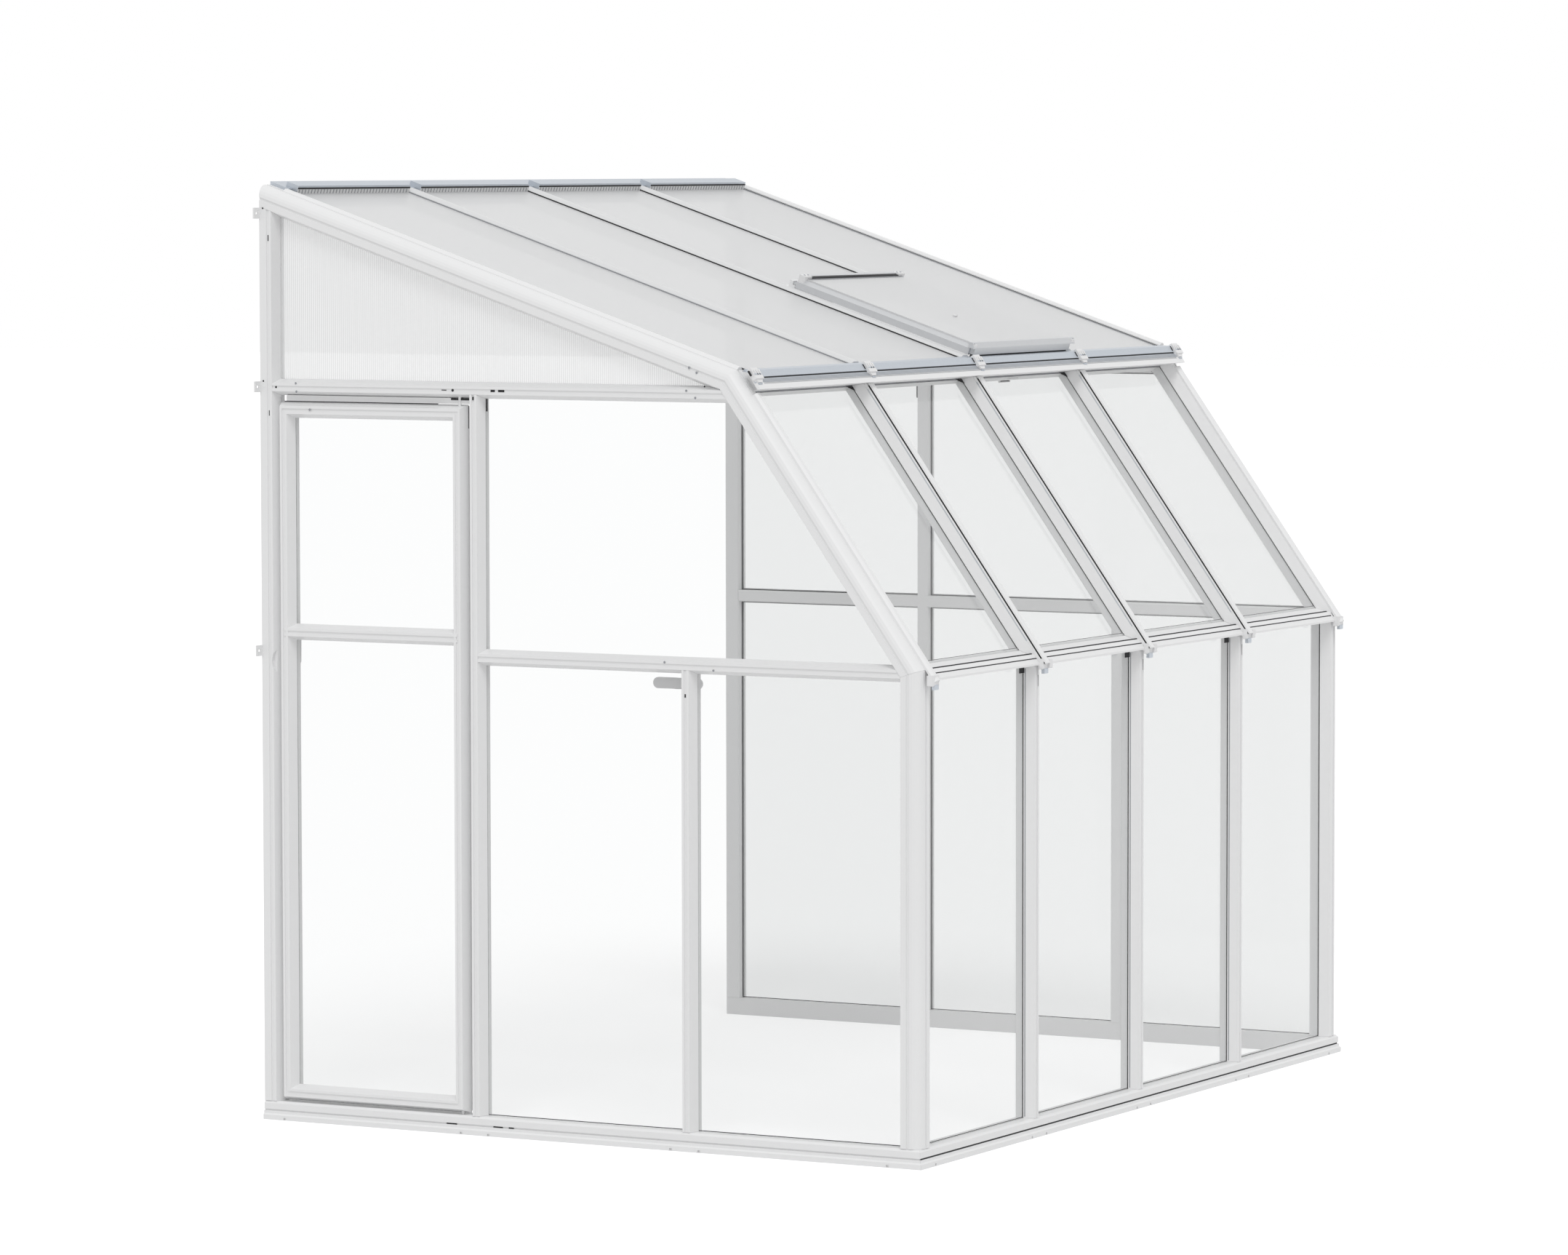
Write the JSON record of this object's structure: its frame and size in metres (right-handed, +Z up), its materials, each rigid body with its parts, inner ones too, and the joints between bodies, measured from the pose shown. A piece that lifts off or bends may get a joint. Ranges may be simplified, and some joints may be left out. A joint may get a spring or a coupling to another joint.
{
  "type": "lean-to greenhouse",
  "caption": "Lean-to greenhouse: white framed clear panes, a steep glazed slope under a shallow translucent roof, rounded corner posts, a hinged door in one gable and a roof vent on a stay.",
  "frame": {"origin": "middle of the footprint, on the ground", "axes": "+Z up, +Y towards the house wall, +X along the wall; the gable with the door is at -X and the low glazed front at -Y"},
  "size_m": [2.67, 2.0122, 2.5094],
  "materials": {
    "white_frame": "satin",
    "clear_pane": "gloss",
    "twin_wall": "satin",
    "bare_aluminium": "satin",
    "white_plastic": "satin"
  },
  "bodies": {
    "frame": {"corner_post_far": "white_frame", "corner_post_near": "white_frame", "door_jamb": "white_frame", "eave_rail": "white_frame", "edge_rafter_far": "white_frame", "edge_rafter_near": "white_frame", "far_mullion_cross": "white_frame", "front_pane_1": "clear_pane", "front_pane_2": "clear_pane", "front_pane_3": "clear_pane", "front_pane_4": "clear_pane", "front_post_1": "white_frame", "front_post_2": "white_frame", "front_post_3": "white_frame", "gable_panel_far": "twin_wall", "gable_panel_near": "twin_wall", "head_rail_far": "white_frame", "head_rail_near": "white_frame", "kink_channel": "bare_aluminium", "kink_purlin": "white_frame", "mid_rail_near": "white_frame", "pane_far_lower_front": "clear_pane", "pane_far_lower_middle": "clear_pane", "pane_far_lower_rear": "clear_pane", "pane_far_upper_front": "clear_pane", "pane_far_upper_rear": "clear_pane", "pane_near_lower_front": "clear_pane", "pane_near_lower_rear": "clear_pane", "pane_near_upper": "clear_pane", "ridge_rail": "bare_aluminium", "roof_panel_1": "twin_wall", "roof_panel_2": "twin_wall", "roof_panel_3": "twin_wall", "roof_panel_4": "twin_wall", "roof_rafter_1": "white_frame", "roof_rafter_2": "white_frame", "roof_rafter_3": "white_frame", "short_mullion_far": "white_frame", "short_mullion_near": "white_frame", "sill_door_gable": "white_frame", "sill_far_gable": "white_frame", "sill_front": "white_frame", "slope_pane_1": "clear_pane", "slope_pane_2": "clear_pane", "slope_pane_3": "clear_pane", "slope_pane_4": "clear_pane", "slope_rafter_1": "white_frame", "slope_rafter_2": "white_frame", "slope_rafter_3": "white_frame", "vent_trimmer": "white_frame", "wall_post_far": "white_frame", "wall_post_near": "white_frame"},
    "door": {"door_frame": "white_frame", "door_pane_lower": "clear_pane", "door_pane_upper": "clear_pane"},
    "latch": {"door_latch": "white_plastic"},
    "lever": {"side_lever": "white_plastic"},
    "vent": {"vent_frame": "bare_aluminium", "vent_panel": "twin_wall"},
    "stay": {"vent_stay": "bare_aluminium"}
  },
  "joints": [
    {"name": "door_hinge", "type": "hinge", "parent": "frame", "child": "door", "pos_m": [-1.284, 0.39648, 0.9], "axis": [0, 0, 1], "range_deg": [0, 100]},
    {"name": "latch_turn", "type": "hinge", "parent": "door", "child": "latch", "pos_m": [-1.246, 0.93508, 1.232], "axis": [-1, 0, 0], "range_deg": [0, 90]},
    {"name": "lever_turn", "type": "hinge", "parent": "frame", "child": "lever", "pos_m": [-1.246, -0.29042, 1.211], "axis": [-1, 0, 0], "range_deg": [0, 90]},
    {"name": "vent_hinge", "type": "hinge", "parent": "frame", "child": "vent", "pos_m": [0.31775, 0.10739, 2.2228], "axis": [-1, 0, 0], "range_deg": [0, 17]},
    {"name": "stay_swing", "type": "hinge", "parent": "vent", "child": "stay", "pos_m": [0.31775, -0.40524, 2.05311], "axis": [-1, 0, 0], "range_deg": [0, 85]}
  ],
  "couplings": [
    {"joint": "stay_swing", "follows": "vent_hinge", "ratio": 5}
  ]
}
